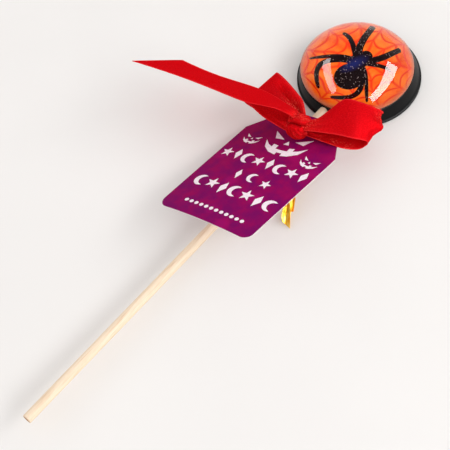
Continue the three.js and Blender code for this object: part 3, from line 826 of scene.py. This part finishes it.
# The knot: the ribbon wrapped over the gathers, its folds running together in one deep crease.
knot = {
    "centre": (2.4, -41.7, 14.9), "reach": (5.3, 4.6), "halfWidth": 4.8, "yaw": 6, "grid": (160, 56),
    "seam": 1 / 3,  # in half turns; it lies below, out of sight
    "creaseAt": 114, "creaseWidth": 9, "creaseDepth": 0.56, "rollWidth": 50,
    "foldDepth": (0.95, 1.2),  # in the upper and the lower roll
    "cloth": (16, 9.5),  # half its length and half its width when flat
}
made = bmesh.ops.create_grid(bm, x_segments=knot["grid"][0], y_segments=knot["grid"][1], size=1)["verts"]
uv = bm.loops.layers.uv.verify()
paintedGlint = bm.verts.layers.float.get("paintedGlint")
spots = {vert: (vert.co.x, vert.co.y) for vert in made}
for vert, (x, v) in spots.items():
    a = math.pi * (x + knot["seam"])
    away = math.degrees(a) - knot["creaseAt"] + 18 * v - 5 * math.sin(4 * v)  # the crease winds across
    crease = bell(away, knot["creaseWidth"])
    spread = 1 - bell(away, knot["rollWidth"])
    if away < 0:  # the upper roll fans out from one point of the crease
        folds = math.cos(math.pi * 3.4 * (v + 0.3) / (0.45 + 0.55 * spread))
        depth = knot["foldDepth"][0]
    else:  # the lower roll's folds slant
        folds = math.cos(math.pi * 2.4 * (v - away / 80) + 0.9)
        depth = knot["foldDepth"][1]
    folds = -depth * (1 - abs(folds)) ** 1.3
    rough = 0.5 * noise.noise(Vector((4 * a / math.pi, v * 2.4, 4.0)))
    scale = 1 - 0.42 * v * v - knot["creaseDepth"] * crease - 0.3 * smoothStep(0.7, 1.0, v)
    lump = (folds * spread * (1 - 0.5 * v * v) + rough) * smoothStep(1.0, 0.85, abs(x))
    curl = smoothStep(-0.7, -0.9, v) * bell(away, 26)
    # painted glints: most on the upper roll above the crease, a few on the lower roll, and along the curled
    # edge
    vert[paintedGlint] = max(0.75 * bell(away + 46, 22), 0.15 * smoothStep(25, 60, away), curl)
    vert.co = Vector((v * knot["halfWidth"] * (0.8 + 0.2 * spread),
                      (knot["reach"][0] * scale + lump) * math.cos(a),
                      (knot["reach"][1] * scale + lump) * math.sin(a)))
for face in {f for vert in made for f in vert.link_faces}:
    for loop in face.loops:
        x, v = spots[loop.vert]
        loop[uv].uv = (x * knot["cloth"][0], v * knot["cloth"][1])
yaw = Matrix.Rotation(math.radians(knot["yaw"]), 3, "Z")
bmesh.ops.rotate(bm, cent=(0, 0, 0), matrix=yaw, verts=made)
bmesh.ops.translate(bm, vec=knot["centre"], verts=made)
bmesh.ops.remove_doubles(bm, verts=made, dist=1e-4)


def flute(verts, ridges, ridgeDepth):  # shallow ridges round a tube that stands along Z
    for vert in verts:
        swell = 1 + ridgeDepth * math.cos(ridges * math.atan2(vert.co.y, vert.co.x))
        vert.co.x *= swell
        vert.co.y *= swell


collar = ribbon["collar"]
made = tube(bm, collar["radius"], collar["length"], collar["sides"])
flute(made, collar["ridges"], collar["ridgeDepth"])
ontoStick(bm, made, collar["startY"])
neck = ribbon["neck"]
neckBottom = stickAxis(neck["y"]).z + neck["aboveAxis"]
made = tube(bm, neck["radius"], neck["top"] - neckBottom, neck["sides"])
flute(made, neck["ridges"], neck["ridgeDepth"])
bmesh.ops.translate(bm, vec=(stick["offset"], neck["y"], neckBottom), verts=made)
ribbonPiece = finishPiece("satinRibbon", bm, [satin], ["ribbon_bow"])
thicken(ribbonPiece, "thickness", ribbon["thickness"])
print("ribbon")


# Foil tie

tie = {
    "thickness": 0.14, "valley": 1.0, "wire": 0.3, "rough": 0.13, "grid": (48, 12),
    "upward": (0.3, -0.3, 0.9),  # the way that the film's folds stand up
    "ring": {"radius": 2.4, "length": 4, "sides": 36}, "ringStartY": -50,
    "ends": [
        {"left": [(3.0, -53.2, 5.2), (8.4, -59.2, 6.0), (14.1, -66.1, 6.2), (16.2, -69.4, 5.2),
                  (17.4, -72.1, 3.2), (18.8, -73.6, 2.0)],
         "right": [(3.2, -50.4, 5.6), (10.6, -56.8, 6.2), (16.9, -64.1, 6.2), (18.9, -67.4, 5.2),
                   (20.0, -69.9, 2.9), (22.8, -73.9, 0.9)]},
        {"left": [(2.6, -53.0, 6.4), (8.4, -57.8, 7.6), (14.6, -63.9, 8.2), (17.3, -66.8, 7.2),
                  (20.0, -69.9, 5.2)],
         "right": [(2.8, -50.2, 6.8), (11.0, -55.8, 8.0), (16.9, -62.2, 8.2), (18.3, -64.4, 7.2),
                   (20.9, -69.0, 5.2)]},
    ],
}

# Metallised gold film on a wire: bright, crinkled, with creases 1.7 mm apart and three times as long.
# Its colour is painted: pale yellow on the facets as a painted highlight, deeper orange at the creases as
# painted shade.
goldFilm, goldShader = newMaterial("goldFilm", {"Metallic": 1.0, "Roughness": 0.32})
place = addNode(goldFilm, "TexCoord").outputs["Object"]
stretched = addNode(goldFilm, "Mapping", {
    "Vector": place, "Rotation": (0, 0, math.radians(-56)), "Scale": (3.0, 1.0, 1.0)}, vector_type="TEXTURE")
crinkles = addNode(goldFilm, "TexVoronoi", {
    "Vector": stretched, "Scale": patternScale(1.667), "Randomness": 1.0}, feature="F1")
# painted highlight in the middle of each facet, painted shade where the facets meet
gold = addNode(goldFilm, "ValToRGB", {"Fac": crinkles}, stops=[
    (0.1, "#FFE070"), (0.5, "#FFC038"), (0.9, "#E89414")])
creased = addNode(goldFilm, "Bump", {"Height": crinkles, "Strength": 0.3, "Distance": 0.0004})
fill(goldFilm, goldShader, {"Base Color": gold, "Normal": creased})

bm = bmesh.new()
for k, end in enumerate(tie["ends"]):
    made = bmesh.ops.create_grid(bm, x_segments=tie["grid"][0], y_segments=tie["grid"][1], size=1)["verts"]
    for vert in made:
        s, v = (vert.co.x + 1) / 2, vert.co.y
        valley = -tie["valley"] * (1 - abs(v)) * smoothStep(0.0, 0.3, s)
        wire = tie["wire"] * bell(v, 0.16)
        rough = tie["rough"] * noise.noise(Vector((s * 10, v * 1.6, k * 7.0)))
        vert.co = alongPath(end["left"], s).lerp(alongPath(end["right"], s), (v + 1) / 2)
        vert.co += Vector(tie["upward"]) * (valley + wire + rough)
ontoStick(bm, tube(bm, **tie["ring"]), tie["ringStartY"])
tiePiece = finishPiece("foilTie", bm, [goldFilm], ["twist_tie"])
thicken(tiePiece, "film", tie["thickness"])
print("foil tie")

bpy.context.view_layer.update()
